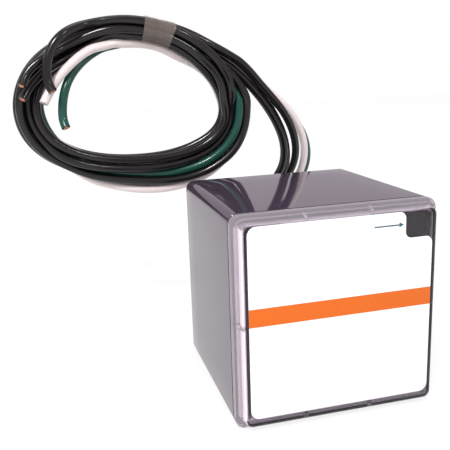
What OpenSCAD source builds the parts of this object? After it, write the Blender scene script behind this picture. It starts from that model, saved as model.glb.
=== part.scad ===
// Hard-wired surge protective device: a smoked plastic box with a clear stepped front cover,
// a conduit nipple at the rear and five stiff leads that stand up in a taped coil behind it.
// The box stands on its base. Origin: middle of the base. +Z up, +Y to the rear, +X to the right.

/* [Housing] */
// Width over the front flange
housing_w = 84; // [76:0.5:120]
// Height over the front flange
housing_h = 85.2; // [80:0.5:110]
// Depth from the flange face to the rear wall
housing_d = 81.5; // [72:0.5:100]
// Wall of the housing
wall = 3; // [2:0.25:4]
// How much each side leans in towards the rear
side_draft = 1.2; // [0:0.1:2]
// How much the top drops towards the rear
top_draft = 0.3; // [0:0.1:1]
// Radius of the outside edges
edge_r = 4; // [3:0.25:6]

/* [Front cover] */
// Thickness of the cover's flange
flange_t = 3; // [2:0.25:4]
// Thickness of the gasket behind the flange
gasket_t = 0.8; // [0.5:0.1:1.5]
// How far the gasket's edge is set in
gasket_inset = 0.4; // [0.2:0.1:1]
// Height of the raised front above the flange face
raise_h = 5; // [3.5:0.25:7]
// Height of the lower step
step_h = 1.8; // [1:0.1:2.5]
// Inset of the lower step
step_inset = 1.2; // [0.6:0.1:2]
// Inset of the raised front
raise_inset = 2.5; // [2:0.1:3.5]
// Wall of the clear cover
cover_wall = 1.2; // [1:0.1:2.2]

/* [Face label] */
// Thickness of the label and depth of its recess
label_t = 0.4; // [0.2:0.05:0.6]
// Margins between the label and the flange's outline
label_left = 4.8; // [4:0.1:8]
label_right = 4.2; // [4:0.1:8]
label_top = 3.4; // [3.2:0.1:8]
label_bottom = 5.8; // [4:0.1:8]
// Radius of the label's corners
label_r = 3.5; // [2:0.25:6]
// Width of the notch at the upper right
notch_w = 11.5; // [8:0.25:14]
// Height of the notch
notch_h = 10.5; // [8:0.25:14]

/* [Rear nipple and locknut] */
// Outside diameter of the nipple
nipple_d = 21.3; // [18:0.1:27]
// Bore of the nipple
nipple_bore = 15.8; // [13:0.1:20]
// Length of the nipple beyond the rear wall
nipple_len = 22; // [18:0.5:30]
// How far the nipple's axis stands above the middle of the housing's height
nipple_rise = 0; // [-6:0.5:7]
// Diameter of the nipple's head inside the housing
head_d = 28; // [25:0.5:34]
// Thickness of that head
head_t = 4; // [3:0.25:6]
// Diameter and thickness of the sealing washer
washer_d = 31; // [28:0.5:36]
washer_t = 2; // [1:0.25:3]
// Diameter over the locknut's lugs, and its thickness
locknut_d = 31; // [28:0.5:36]
locknut_t = 3.5; // [2.5:0.25:5]
// Number of lugs on the locknut
locknut_lugs = 6; // [4:1:8]
// Gap left between the washer and the locknut
locknut_gap = 0.5; // [0.3:0.1:4]

/* [Leads] */
// Outside diameter of a lead
lead_d = 4.2; // [3.4:0.1:4.2]
// Diameter of its stranded core
core_d = 2.5; // [2:0.1:2.8]
// Radius of the circle that the leads stand on inside the nipple
lead_circle_r = 3.7; // [3.6:0.05:4.5]
// Length of stripped core at the free ends
strip_len = 1.2; // [0.5:0.1:3]
// Long and short half-lengths of the coil's middle line
coil_half_long = 50.5; // [48:0.5:54]
coil_half_short = 35.5; // [33:0.5:37]
// Half the thickness of the wound bundle
coil_bundle_r = 8; // [7:0.25:9]
// Lean of the coil's long axis below level, to the right
coil_tilt = 11; // [8:0.5:14]
// Width of the tape along the bundle, and how far it stands off it
tape_w = 17; // [12:0.5:22]
tape_t = 0.4; // [0.2:0.1:0.8]

/* [Circuit board] */
// Gap between the board's side edges and the housing's walls
board_side_gap = 4; // [3:0.25:6]
// Gap between the board's nearer end and the housing's wall
board_end_gap = 4.1; // [3.6:0.1:5.6]
// Thickness of the board
board_t = 1.6; // [1:0.1:2]
// Distance from the rear wall's inside to the board
board_back = 15.7; // [13:0.1:18]
// Inset of the board's screws from its side edges, and from its top and bottom
screw_inset = 2.7; // [2.6:0.1:2.8]
screw_rise = 15; // [12:0.5:18]
// Screw shank and head diameters, and head height
screw_d = 3; // [2.5:0.1:3.5]
screw_head_d = 4.6; // [4.2:0.1:4.6]
screw_head_t = 2; // [1.2:0.1:2.4]
// Length of a screw's shank
screw_len = 8; // [6:0.5:10]
// Outside diameter of a standoff
standoff_d = 5.6; // [5:0.1:6]

/* [Varistor modules] */
// Width, height and depth of a module's case
module_w = 28.5; // [28:0.25:29]
module_h = 31; // [30:0.25:32]
module_d = 16; // [15:0.25:18]
// Wall of a module's case
module_wall = 1.5; // [1:0.1:1.8]
// Gap between a module and the screw heads beside it
module_side_gap = 0.25; // [0.2:0.05:0.5]
// Gap between the modules above and below
module_gap_z = 1.5; // [1:0.25:3]
// Gap between a varistor disc and its case, and the disc's thickness
disc_gap = 0.25; // [0.1:0.05:1.5]
disc_t = 7; // [5:0.25:8]
// Diameter and height of the electrode on the disc
pad_d = 6; // [4:0.25:8]
pad_t = 1; // [0.5:0.1:1.5]
// Width, height and thickness of the slider
slider_w = 15; // [12:0.5:16]
slider_h = 12; // [10:0.5:13]
slider_t = 2.3; // [1.6:0.1:2.6]
// Travel of the slider when its solder melts
slider_travel = 7.5; // [5:0.25:7.5]
// Width and thickness of the rails that guide it
rail_w = 1.6; // [1.2:0.1:2]
rail_lip = 1.2; // [0.8:0.1:1.5]
// Coil diameter, wire diameter and turns of the slider's spring
spring_d = 6; // [4:0.25:7]
spring_wire = 0.7; // [0.4:0.05:0.9]
spring_turns = 5; // [4:1:7]
// Diameter and length of a fuse, and the length of its caps
fuse_d = 6.3; // [5:0.1:6.6]
fuse_len = 20; // [16:0.5:26]
fuse_cap = 4; // [3:0.25:6]

/* [Status lamps] */
// Lamp diameter and height
lamp_d = 3; // [2:0.1:3.4]
lamp_h = 4.4; // [3:0.1:6]
// Spacing of the two lamps
lamp_dx = 5; // [4.4:0.1:6]
// Width of a light pipe's bar
pipe_w = 3; // [2:0.1:3.4]
// Depth of the window insert behind the cover
window_d = 4; // [3:0.25:6]

/* [Clearances] */
// Gap between pieces that are pushed or glued together
seat_gap = 0.05; // [0.02:0.01:0.1]
// Radial clearance of the locknut on the nipple
thread_gap = 0.05; // [0.02:0.01:0.1]
// Gap around pieces that slide
slide_gap = 0.3; // [0.2:0.05:0.4]
// Gap around pieces that only pass through a hole
pass_gap = 0.25; // [0.15:0.05:0.5]

/* [Hidden] */
$fn = 48;
round_fn = 32;

nipple_z = housing_h / 2 + nipple_rise;
board_w = housing_w - 2 * (wall + board_side_gap);
board_h = 2 * (min(nipple_z, housing_h - nipple_z) - wall - board_end_gap);

// Depth stations, front to rear
flange_y = -housing_d / 2;
rear_y = housing_d / 2;
front_y = flange_y - raise_h;
shell_y = flange_y + flange_t + gasket_t;
inner_rear_y = rear_y - wall;
board_y = inner_rear_y - board_back - board_t;
nipple_end_y = rear_y + nipple_len;
locknut_y = rear_y + washer_t + locknut_gap;
lamp_top_y = board_y - lamp_h;
window_y = front_y + cover_wall + seat_gap;

// The board is centred on the nipple's axis
module_back_y = board_y;
module_dx = board_w - module_w - 2 * (screw_inset + screw_head_d / 2 + module_side_gap);
module_dz = module_h + module_gap_z;
disc_d = min(module_w, module_h) - 2 * (module_wall + disc_gap);
disc_front_y = module_back_y - module_wall - disc_t;
pad_front_y = disc_front_y - pad_t;
slider_back_y = pad_front_y - slide_gap;
slider_front_y = slider_back_y - slider_t;

// Window insert behind the label's notch
window_x1 = housing_w / 2 - raise_inset - cover_wall - 0.17 * edge_r;
window_x0 = housing_w / 2 - label_right - notch_w - 1;
window_z1 = housing_h - raise_inset - cover_wall - 0.17 * edge_r;
window_z0 = housing_h - label_top - notch_h - 1;
lamp_x = min((window_x0 + window_x1) / 2, board_w / 2 - (lamp_dx + lamp_d) / 2 - pass_gap);
lamp_z = max(nipple_z + (module_dz + module_h + pipe_w) / 2 + pass_gap,
    min(window_z1 - pipe_w, nipple_z + board_h / 2 - lamp_d / 2 - pass_gap));

// Where the leads leave the nipple: three black, then white, then green
lead_angles = [126, 54, 198, 342, 270];

// Middle of the coil, and the ends of its straight stretches
coil_x = -56.5;
coil_y = 74;
coil_z = 117;
coil_straight = coil_half_long - coil_half_short;

// Route of each lead from the nipple up to the coil
riser_black_a = [[-2.2, 63.05, 45.6], [-1.9, 73.2, 46.6], [3.7, 84, 54.5], [14.5, 85.5, 67.5],
    [22.5, 81, 80.5], [22.8, 78.2, 93], [18.5, 76.7, 104.5], [11.5, 75.4, 115.5], [2, 73.5, 126.5],
    [-8, 72.5, 136], [-19, 72, 143]];
riser_black_b = [[2.2, 63.05, 45.6], [3.5, 73.5, 46.2], [11.5, 87, 53.5], [20.5, 90, 66],
    [26.3, 85.5, 80.5], [25.5, 82.7, 93], [21.2, 81.2, 104.5], [14, 79.8, 116], [4.5, 78.5, 127.5],
    [-6, 78, 137.5], [-18, 77.5, 145]];
riser_black_c = [[-3.5, 63.05, 41.5], [-3.4, 74, 41.3], [6.5, 89.5, 48.5], [18.5, 94.8, 60.5],
    [30.5, 88.3, 77], [31.2, 81.9, 90.5], [27.3, 78.7, 102.5], [20, 76.2, 113.8], [9.5, 73.2, 125],
    [-4.5, 69.2, 138.5], [-18, 67.5, 146]];
riser_white = [[3.5, 63.05, 41.5], [5, 74, 41.6], [16.5, 90.5, 47.5], [29, 96.5, 60],
    [37.5, 90.5, 76.5], [38, 86.2, 89], [34, 83.4, 101], [25, 82, 113.5], [12.3, 81.8, 124.8],
    [-1, 82, 136.3], [-14.5, 82, 143.5]];
riser_green = [[0, 63.05, 38.9], [1.5, 74.5, 38.4], [13, 93.5, 42.5], [28.5, 102, 55.5], [41, 98, 72],
    [42, 92, 85.5], [37.5, 89, 98.5], [27, 87.6, 110.5], [13.5, 87, 121.2], [0.5, 87, 133.2],
    [-13.5, 86, 141.2]];
risers = [riser_black_a, riser_black_b, riser_black_c, riser_white, riser_green];

// Route of each lead's free end, which lies over the front of the coil at its upper left
end_black_a = [[-87, 70, 143], [-97, 66.6, 138], [-106, 65.4, 130.5], [-110.2, 62.4, 124.5]];
end_black_b = [[-90, 67, 147], [-99, 62.8, 142.5], [-107, 61, 136.5], [-110, 58.2, 130.9]];
end_black_c = [[-80, 66, 157], [-88.5, 61, 153.8], [-94.8, 58.8, 148], [-98, 57.6, 140],
    [-98.4, 57.2, 132.5], [-95.8, 54.6, 126.2]];
end_white = [[-76, 67, 146.5], [-86, 63.3, 140.5], [-95, 61.5, 131.5], [-102, 57.6, 120.9]];
end_green = [[-84, 69, 138], [-90.3, 64, 129], [-92.8, 62.6, 118.5], [-92.7, 61.4, 113],
    [-91.3, 58.8, 109.2]];
free_ends = [end_black_a, end_black_b, end_black_c, end_white, end_green];

// ---- helpers ----

// Rounded rectangle, centred on x, with its lower edge at y = z0
module rounded_rect(w, h, r, z0) {
    translate([-w / 2 + r, z0]) square([w - 2 * r, h]);
    translate([-w / 2, z0 + r]) square([w, h - 2 * r]);
    for (x = [-w / 2 + r, w / 2 - r], z = [z0 + r, z0 + h - r])
        translate([x, z]) circle(r);
}

// Extrude a drawing made in the x-z plane from depth y0 to depth y1
module along_y(y0, y1) {
    translate([0, y1, 0]) rotate([90, 0, 0]) linear_extrude(y1 - y0) children();
}

// Round bar along Y
module rod_y(x, z, r, y0, y1, fn = 48) {
    translate([x, y0, z]) rotate([-90, 0, 0]) cylinder(h = y1 - y0, r = r, $fn = fn);
}

// Box between two corners
module box(a, b) {
    translate(a) cube(b - a);
}

// Half width and height of the drafted shell at depth y
function half_w(y) = housing_w / 2 - side_draft * (y - flange_y) / housing_d;
function top_z(y) = housing_h - top_draft * (y - flange_y) / housing_d;

// Drafted block with rounded edges, shrunk by a wall thickness on every side
module drafted_block(y0, y1, shrink, r) {
    hull() {
        for (side = [-1, 1], z = [shrink + r, top_z(y0) - shrink - r])
            rod_y(side * (half_w(y0) - shrink - r), z, r, y0, y0 + 0.1, round_fn);
        for (side = [-1, 1], z = [shrink + r, top_z(y1) - shrink - r])
            translate([side * (half_w(y1) - shrink - r), y1 - r, z]) rotate([90, 0, 0])
                sphere(r, $fn = round_fn);
    }
}

// Unit vector and cross product
function unit(v) = v / norm(v);
function perp(t, s) = unit(s - t * (s * t));

// Directions at each point of a route
function tangents(p) = [for (i = [0 : len(p) - 1])
    unit(p[min(i + 1, len(p) - 1)] - p[max(i - 1, 0)])];

// Side vectors carried along a route without twist
function carried(t, i, s) = i == len(t) ? [] :
    let (n = perp(t[i], s)) concat([n], carried(t, i + 1, n));

// Round tube along a route: one polyhedron, closed at both ends
module tube(p, d, sides = 10) {
    t = tangents(p);
    s = carried(t, 0, [0.3, 0.1, 1]);
    rings = [for (i = [0 : len(p) - 1], k = [0 : sides - 1])
        let (c = cross(t[i], s[i]), turn = 360 * k / sides)
        p[i] + d / 2 * (cos(turn) * s[i] + sin(turn) * c)];
    walls = [for (i = [0 : len(p) - 2], k = [0 : sides - 1], half = [0, 1])
        let (a = i * sides, b = a + sides, k2 = (k + 1) % sides)
        half == 0 ? [a + k, a + k2, b + k2] : [a + k, b + k2, b + k]];
    first = [for (k = [sides - 1 : -1 : 0]) k];
    last = [for (k = [0 : sides - 1]) (len(p) - 1) * sides + k];
    polyhedron(points = rings, faces = concat(walls, [first, last]), convexity = 4);
}

// Where lead n stands in the nipple
function lead_x(n) = lead_circle_r * cos(lead_angles[n]);
function lead_z(n) = nipple_z + lead_circle_r * sin(lead_angles[n]);

// ---- case ----

module housing() {
    color([0.36, 0.33, 0.37]) difference() {
        drafted_block(shell_y, rear_y, 0, edge_r);
        // the cavity, which runs out through the open front
        hull() {
            drafted_block(shell_y, inner_rear_y, wall, edge_r - wall / 2);
            for (side = [-1, 1], z = [wall + edge_r / 2, top_z(shell_y) - wall - edge_r / 2])
                rod_y(side * (half_w(shell_y) - wall - edge_r / 2), z, edge_r / 2,
                    shell_y - 1, shell_y, round_fn);
        }
        rod_y(0, nipple_z, nipple_d / 2 + pass_gap, inner_rear_y - 1, rear_y + 1, 64);
    }
}

module cover_gasket() {
    w = housing_w - 2 * gasket_inset;
    h = housing_h - 2 * gasket_inset;
    color([0.12, 0.12, 0.13]) along_y(shell_y - gasket_t, shell_y) difference() {
        rounded_rect(w - 0.2, h - 0.2, edge_r, gasket_inset + 0.1);
        rounded_rect(w - 2 * wall, h - 2 * wall, edge_r / 2, gasket_inset + wall);
    }
}

// Outline of the label, with its notch; grow widens it all round
module label_outline(grow) {
    x0 = -housing_w / 2 + label_left - grow;
    x1 = housing_w / 2 - label_right + grow;
    z0 = label_bottom - grow;
    z1 = housing_h - label_top + grow;
    nx = x1 - notch_w - grow;
    nz = z1 - notch_h - grow;
    difference() {
        translate([(x0 + x1) / 2, 0]) rounded_rect(x1 - x0, z1 - z0, label_r, z0);
        difference() {
            translate([nx, nz]) square([notch_w + grow + 1, notch_h + grow + 1]);
            // the notch's own corner is round
            difference() {
                translate([nx - 0.01, nz - 0.01]) square(label_r);
                translate([nx + label_r, nz + label_r]) circle(label_r);
            }
        }
    }
}

module front_cover() {
    color([0.86, 0.88, 0.90, 0.6]) difference() {
        union() {
            along_y(flange_y, flange_y + flange_t) rounded_rect(housing_w, housing_h, edge_r, 0);
            along_y(flange_y - step_h, flange_y)
                rounded_rect(housing_w - 2 * step_inset, housing_h - 2 * step_inset, edge_r, step_inset);
            along_y(front_y, flange_y)
                rounded_rect(housing_w - 2 * raise_inset, housing_h - 2 * raise_inset, edge_r, raise_inset);
        }
        // hollow behind the raised front
        inset = raise_inset + cover_wall;
        along_y(front_y + cover_wall, flange_y + flange_t + 1)
            rounded_rect(housing_w - 2 * inset, housing_h - 2 * inset, edge_r / 2, inset);
        // shallow seat for the label
        along_y(front_y - 1, front_y + label_t) label_outline(seat_gap);
    }
}

module face_label() {
    color([0.97, 0.97, 0.97]) along_y(front_y, front_y + label_t) label_outline(0);
}

module status_window() {
    w = window_x1 - window_x0;
    h = window_z1 - window_z0;
    color([0.20, 0.18, 0.21]) difference() {
        box([window_x0, window_y, window_z0], [window_x1, window_y + window_d, window_z1]);
        // grooves that leave upright ribs
        for (k = [0 : 3])
            box([window_x0 + w * (0.12 + 0.22 * k), window_y - 1, window_z0 + 1.5],
                [window_x0 + w * (0.22 + 0.22 * k), window_y + window_d / 3, window_z0 + h - 1.5]);
    }
}

module light_pipes() {
    color([0.85, 0.88, 0.90, 0.6]) for (side = [-1, 1])
        box([lamp_x + side * lamp_dx / 2 - pipe_w / 2, window_y + window_d + seat_gap, lamp_z - pipe_w / 2],
            [lamp_x + side * lamp_dx / 2 + pipe_w / 2, lamp_top_y - seat_gap, lamp_z + pipe_w / 2]);
}

module status_lamps() {
    color([0.25, 0.75, 0.35]) for (side = [-1, 1]) {
        x = lamp_x + side * lamp_dx / 2;
        rod_y(x, lamp_z, lamp_d / 2, lamp_top_y + lamp_d / 2, board_y);
        translate([x, lamp_top_y + lamp_d / 2, lamp_z]) sphere(lamp_d / 2);
    }
}

// ---- board ----

module at_screws() {
    for (sx = [-1, 1], sz = [-1, 1])
        translate([sx * (board_w / 2 - screw_inset), 0, nipple_z + sz * (board_h / 2 - screw_rise)])
            children();
}

module circuit_board() {
    color([0.10, 0.38, 0.22]) difference() {
        box([-board_w / 2, board_y, nipple_z - board_h / 2],
            [board_w / 2, board_y + board_t, nipple_z + board_h / 2]);
        at_screws() rod_y(0, 0, screw_d / 2 + pass_gap, board_y - 1, board_y + board_t + 1);
        for (n = [0 : 4])
            rod_y(lead_x(n), lead_z(n), 1, board_y - 1, board_y + board_t + 1);
    }
}

module board_standoffs() {
    color([0.85, 0.84, 0.80]) at_screws() difference() {
        rod_y(0, 0, standoff_d / 2, board_y + board_t, inner_rear_y - seat_gap);
        rod_y(0, 0, screw_d / 2 + seat_gap, board_y + board_t - 1, board_y + board_t + screw_len);
    }
}

module board_screws() {
    color([0.72, 0.73, 0.75]) at_screws() difference() {
        union() {
            rod_y(0, 0, screw_head_d / 2, board_y - screw_head_t, board_y);
            rod_y(0, 0, screw_d / 2, board_y - 0.5, board_y + screw_len);
        }
        // cross recess
        box([-1.5, board_y - screw_head_t - 1, -0.35], [1.5, board_y - screw_head_t / 2, 0.35]);
        box([-0.35, board_y - screw_head_t - 1, -1.5], [0.35, board_y - screw_head_t / 2, 1.5]);
    }
}

// Place module n on the board: 1 and 2 below, 3 and 4 above
module at_module(n) {
    translate([(n % 2 == 1 ? -1 : 1) * module_dx / 2, 0, nipple_z + (n <= 2 ? -1 : 1) * module_dz / 2])
        children();
}

module module_case(n) {
    rail_x = slider_w / 2 + slide_gap;
    inner_h = module_h / 2 - module_wall;
    color([0.16, 0.17, 0.20]) at_module(n) difference() {
        union() {
            difference() {
                box([-module_w / 2, module_back_y - module_d, -module_h / 2],
                    [module_w / 2, module_back_y, module_h / 2]);
                box([-module_w / 2 + module_wall, module_back_y - module_d - 1, -inner_h],
                    [module_w / 2 - module_wall, module_back_y - module_wall, inner_h]);
            }
            // two rails with lips that hold the slider
            for (side = [-1, 1]) {
                x0 = side > 0 ? rail_x : -rail_x - rail_w;
                lip0 = side > 0 ? rail_x - rail_lip : -rail_x - rail_w;
                box([x0, slider_front_y - slide_gap - rail_w, -inner_h - 0.1],
                    [x0 + rail_w, disc_front_y - slide_gap, inner_h + 0.1]);
                box([lip0, slider_front_y - slide_gap - rail_w, -inner_h - 0.1],
                    [lip0 + rail_w + rail_lip, slider_front_y - slide_gap, inner_h + 0.1]);
            }
        }
    }
}

module varistor_disc(n) {
    color([0.20, 0.36, 0.62]) at_module(n) {
        rod_y(0, 0, disc_d / 2, disc_front_y, module_back_y - module_wall);
        rod_y(0, 0, pad_d / 2, pad_front_y, disc_front_y + 0.01);
    }
}

module trip_slider(n) {
    color([0.86, 0.45, 0.16]) at_module(n) {
        box([-slider_w / 2, slider_front_y, -slider_h / 2], [slider_w / 2, slider_back_y, slider_h / 2]);
        // stem that carries the tripped mark
        box([-pad_d / 2, slider_front_y - slide_gap, -slider_h / 2], [pad_d / 2, slider_front_y, 0]);
    }
}

module slider_spring(n) {
    low = -module_h / 2 + module_wall + spring_wire / 2 + 0.02;
    high = -slider_h / 2 - spring_wire / 2 - 0.02;
    steps = spring_turns * 10;
    y = (slider_front_y + slider_back_y) / 2;
    color([0.70, 0.71, 0.73]) at_module(n) tube([for (i = [0 : steps])
        let (a = 36 * i, r = min(spring_d, 2 * slider_t) / 2)
        [spring_d / 2 * cos(a), y + min(r, slider_t / 2) * sin(a), low + (high - low) * i / steps]],
        spring_wire, 6);
}

// Each fuse stands behind the board, outside the nipple's head
module at_fuses() {
    for (sx = [-1, 1], k = [0, 1])
        translate([sx * (head_d / 2 + 5 + k * (fuse_d + 1.5)), board_y + board_t + fuse_d / 2 + 1, nipple_z])
            children();
}

module fuse_bodies() {
    color([0.90, 0.88, 0.82]) at_fuses() cylinder(h = fuse_len - 2 * fuse_cap, d = fuse_d - 0.5, center = true);
}

module fuse_caps() {
    color([0.75, 0.76, 0.78]) at_fuses() for (side = [-1, 1])
        translate([0, 0, side * (fuse_len - fuse_cap) / 2]) cylinder(h = fuse_cap, d = fuse_d, center = true);
}

// ---- leads inside the box ----

terminal_len = 6;

module lead_terminals() {
    color([0.80, 0.66, 0.30]) for (n = [0 : 4]) difference() {
        union() {
            rod_y(lead_x(n), lead_z(n), lead_d / 2 - 0.2, board_y + board_t,
                board_y + board_t + terminal_len);
            rod_y(lead_x(n), lead_z(n), 0.8, board_y + 0.2, board_y + board_t + 1);
        }
        rod_y(lead_x(n), lead_z(n), core_d / 2 + seat_gap, board_y + board_t + 1,
            board_y + board_t + terminal_len + 1);
    }
}

module lead_cores() {
    color([0.78, 0.47, 0.33]) for (n = [0 : 4])
        rod_y(lead_x(n), lead_z(n), core_d / 2, board_y + board_t + 1, nipple_end_y - 0.05);
}

module inner_lead(n) {
    difference() {
        rod_y(lead_x(n), lead_z(n), lead_d / 2, board_y + board_t + terminal_len + 1, nipple_end_y - 0.05);
        rod_y(lead_x(n), lead_z(n), core_d / 2 + seat_gap, board_y, nipple_end_y + 1);
    }
}

module inner_leads_black() {
    color([0.05, 0.05, 0.05]) for (n = [0 : 2]) inner_lead(n);
}

module inner_lead_white() {
    color([0.90, 0.87, 0.85]) inner_lead(3);
}

module inner_lead_green() {
    color([0.12, 0.30, 0.22]) inner_lead(4);
}

module nipple_potting() {
    color([0.10, 0.10, 0.11]) difference() {
        rod_y(0, nipple_z, nipple_bore / 2 - seat_gap, inner_rear_y - head_t, nipple_end_y - 2);
        for (n = [0 : 4])
            rod_y(lead_x(n), lead_z(n), lead_d / 2 + 0.03, board_y, nipple_end_y);
    }
}

// ---- nipple ----

module conduit_nipple() {
    color([0.55, 0.56, 0.57]) difference() {
        union() {
            translate([0, inner_rear_y - head_t, nipple_z]) rotate([-90, 0, 0])
                cylinder(h = head_t - seat_gap, d = head_d, $fn = 64);
            rod_y(0, nipple_z, nipple_d / 2, inner_rear_y - 1, nipple_end_y, 64);
        }
        rod_y(0, nipple_z, nipple_bore / 2, inner_rear_y - head_t - 1, nipple_end_y + 1, 64);
        // lead-in at the mouth
        translate([0, nipple_end_y - 1, nipple_z]) rotate([-90, 0, 0])
            cylinder(h = 1.01, r1 = nipple_bore / 2, r2 = nipple_bore / 2 + 1, $fn = 64);
    }
}

module sealing_washer() {
    color([0.08, 0.08, 0.09]) difference() {
        rod_y(0, nipple_z, washer_d / 2, rear_y, rear_y + washer_t, 64);
        rod_y(0, nipple_z, nipple_d / 2 + pass_gap, rear_y - 1, rear_y + washer_t + 1, 64);
    }
}

module locknut() {
    lug = 5;
    body_r = locknut_d / 2 - 2;
    color([0.70, 0.71, 0.73]) difference() {
        union() {
            rod_y(0, nipple_z, body_r, locknut_y, locknut_y + locknut_t, 64);
            for (k = [0 : locknut_lugs - 1])
                translate([0, locknut_y, nipple_z]) rotate([0, 360 * k / locknut_lugs, 0])
                    translate([body_r - 1, 0, -lug / 2]) cube([3, locknut_t, lug]);
        }
        rod_y(0, nipple_z, nipple_d / 2 + thread_gap, locknut_y - 1, locknut_y + locknut_t + 1, 64);
    }
}

// ---- leads outside the box ----

module riser(n) {
    tube(risers[n], lead_d);
}

module free_end(n) {
    tube(free_ends[n], lead_d);
}

// Carry children into the plane of the coil: x along its long axis, y along its short axis
module in_coil_plane() {
    translate([coil_x, coil_y, coil_z]) rotate([0, coil_tilt, 0]) rotate([90, 0, 0]) children();
}

module lead_coil() {
    color([0.10, 0.10, 0.11]) in_coil_plane() for (side = [-1, 1]) {
        translate([side * coil_straight, 0, 0]) rotate([0, 0, side * 90 - 180])
            rotate_extrude(angle = 180, $fn = 96) translate([coil_half_short, 0])
                circle(coil_bundle_r, $fn = round_fn);
        translate([-coil_straight, side * coil_half_short, 0]) rotate([0, 90, 0])
            cylinder(h = 2 * coil_straight, r = coil_bundle_r, $fn = round_fn);
    }
}

module coil_tape() {
    r0 = coil_bundle_r + seat_gap;
    color([0.75, 0.68, 0.58, 0.6]) in_coil_plane()
        translate([-coil_straight + 15, coil_half_short, 0]) rotate([0, 90, 0])
            translate([0, 0, -tape_w / 2]) difference() {
                cylinder(h = tape_w, r = r0 + tape_t, $fn = round_fn);
                translate([0, 0, -1]) cylinder(h = tape_w + 2, r = r0, $fn = round_fn);
            }
}

module stripped_ends() {
    color([0.78, 0.47, 0.33]) for (n = [0 : 4]) {
        p = free_ends[n];
        tip = p[len(p) - 1];
        dir = unit(tip - p[len(p) - 2]);
        tube([tip + 0.02 * dir, tip + strip_len * dir], core_d);
    }
}

housing();
cover_gasket();
front_cover();
face_label();
status_window();
light_pipes();
status_lamps();
circuit_board();
board_standoffs();
board_screws();
module_case(1);  // module_case_1
module_case(2);  // module_case_2
module_case(3);  // module_case_3
module_case(4);  // module_case_4
varistor_disc(1);  // varistor_disc_1
varistor_disc(2);  // varistor_disc_2
varistor_disc(3);  // varistor_disc_3
varistor_disc(4);  // varistor_disc_4
trip_slider(1);  // trip_slider_1
trip_slider(2);  // trip_slider_2
trip_slider(3);  // trip_slider_3
trip_slider(4);  // trip_slider_4
slider_spring(1);  // slider_spring_1
slider_spring(2);  // slider_spring_2
slider_spring(3);  // slider_spring_3
slider_spring(4);  // slider_spring_4
fuse_bodies();
fuse_caps();
lead_terminals();
lead_cores();
inner_leads_black();
inner_lead_white();
inner_lead_green();
nipple_potting();
conduit_nipple();
sealing_washer();
locknut();
color([0.05, 0.05, 0.05]) riser(0);  // riser_black_a
color([0.05, 0.05, 0.05]) riser(1);  // riser_black_b
color([0.05, 0.05, 0.05]) riser(2);  // riser_black_c
color([0.90, 0.87, 0.85]) riser(3);  // riser_white
color([0.12, 0.30, 0.22]) riser(4);  // riser_green
lead_coil();
coil_tape();
color([0.05, 0.05, 0.05]) free_end(0);  // end_black_a
color([0.05, 0.05, 0.05]) free_end(1);  // end_black_b
color([0.05, 0.05, 0.05]) free_end(2);  // end_black_c
color([0.90, 0.87, 0.85]) free_end(3);  // end_white
color([0.12, 0.30, 0.22]) free_end(4);  // end_green
stripped_ends();
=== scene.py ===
import math
import bpy
import bmesh
import numpy as np
from mathutils import Matrix, Vector


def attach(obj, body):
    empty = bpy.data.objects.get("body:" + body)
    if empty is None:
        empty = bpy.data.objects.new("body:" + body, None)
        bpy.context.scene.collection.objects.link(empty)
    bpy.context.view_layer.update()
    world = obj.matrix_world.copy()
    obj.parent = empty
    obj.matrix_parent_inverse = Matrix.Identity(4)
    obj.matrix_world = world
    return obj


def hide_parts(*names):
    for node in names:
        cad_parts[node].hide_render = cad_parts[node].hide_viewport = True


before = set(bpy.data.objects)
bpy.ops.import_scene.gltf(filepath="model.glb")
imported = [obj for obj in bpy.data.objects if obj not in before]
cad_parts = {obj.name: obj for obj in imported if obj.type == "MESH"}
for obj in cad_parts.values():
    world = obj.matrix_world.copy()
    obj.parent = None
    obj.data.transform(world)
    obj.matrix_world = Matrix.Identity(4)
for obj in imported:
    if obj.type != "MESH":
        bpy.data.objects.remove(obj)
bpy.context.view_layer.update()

mm = 0.001
scene = bpy.context.scene
scene.view_settings.view_transform = "Standard"


# the view: angles in degrees, distance and target in metres, lens in millimetres
shot = {
    "azimuth": -15.129,
    "elevation": 14.038,
    "roll": -1.956,
    "distance": 0.247627,
    "target": (-0.043721, -0.04075, 0.082279),
    "lens": 55.133,
}


def placeCamera(s):
    a = math.radians(s["azimuth"])
    e = math.radians(s["elevation"])
    r = math.radians(s["roll"])
    back = Vector((math.sin(a) * math.cos(e), -math.cos(a) * math.cos(e), math.sin(e)))
    level = Vector((math.cos(a), math.sin(a), 0))
    up = back.cross(level)
    right = level * math.cos(r) + up * math.sin(r)
    up = back.cross(right)
    data = bpy.data.cameras.new("camera")
    data.lens = s["lens"]
    data.sensor_width = 36
    data.clip_start = 0.01
    camera = bpy.data.objects.new("camera", data)
    scene.collection.objects.link(camera)
    turn = Matrix((right, up, back)).transposed().to_4x4()
    camera.matrix_world = Matrix.Translation(Vector(s["target"]) + back * s["distance"]) @ turn
    scene.camera = camera


placeCamera(shot)
print("camera placed")


# a shader socket that takes part in plain expressions
class Signal:
    def __init__(self, finish, socket):
        self.finish = finish
        self.socket = socket

    def maths(self, operation, *others):
        values = dict(enumerate((self, *others)))
        return self.finish.node("ShaderNodeMath", {"operation": operation}, values)

    def __add__(self, other):
        return self.maths("ADD", other)

    def __sub__(self, other):
        return self.maths("SUBTRACT", other)

    def __mul__(self, other):
        return self.maths("MULTIPLY", other)

    def __gt__(self, other):
        return self.maths("GREATER_THAN", other)

    def __lt__(self, other):
        return self.maths("LESS_THAN", other)

    def __abs__(self):
        return self.maths("ABSOLUTE")

    def __rsub__(self, other):
        return self.finish.node("ShaderNodeMath", {"operation": "SUBTRACT"}, {0: other, 1: self})

    __radd__ = __add__
    __rmul__ = __mul__

    def clamped(self):
        return self.maths("MAXIMUM", 0.0).maths("MINIMUM", 1.0)


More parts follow.
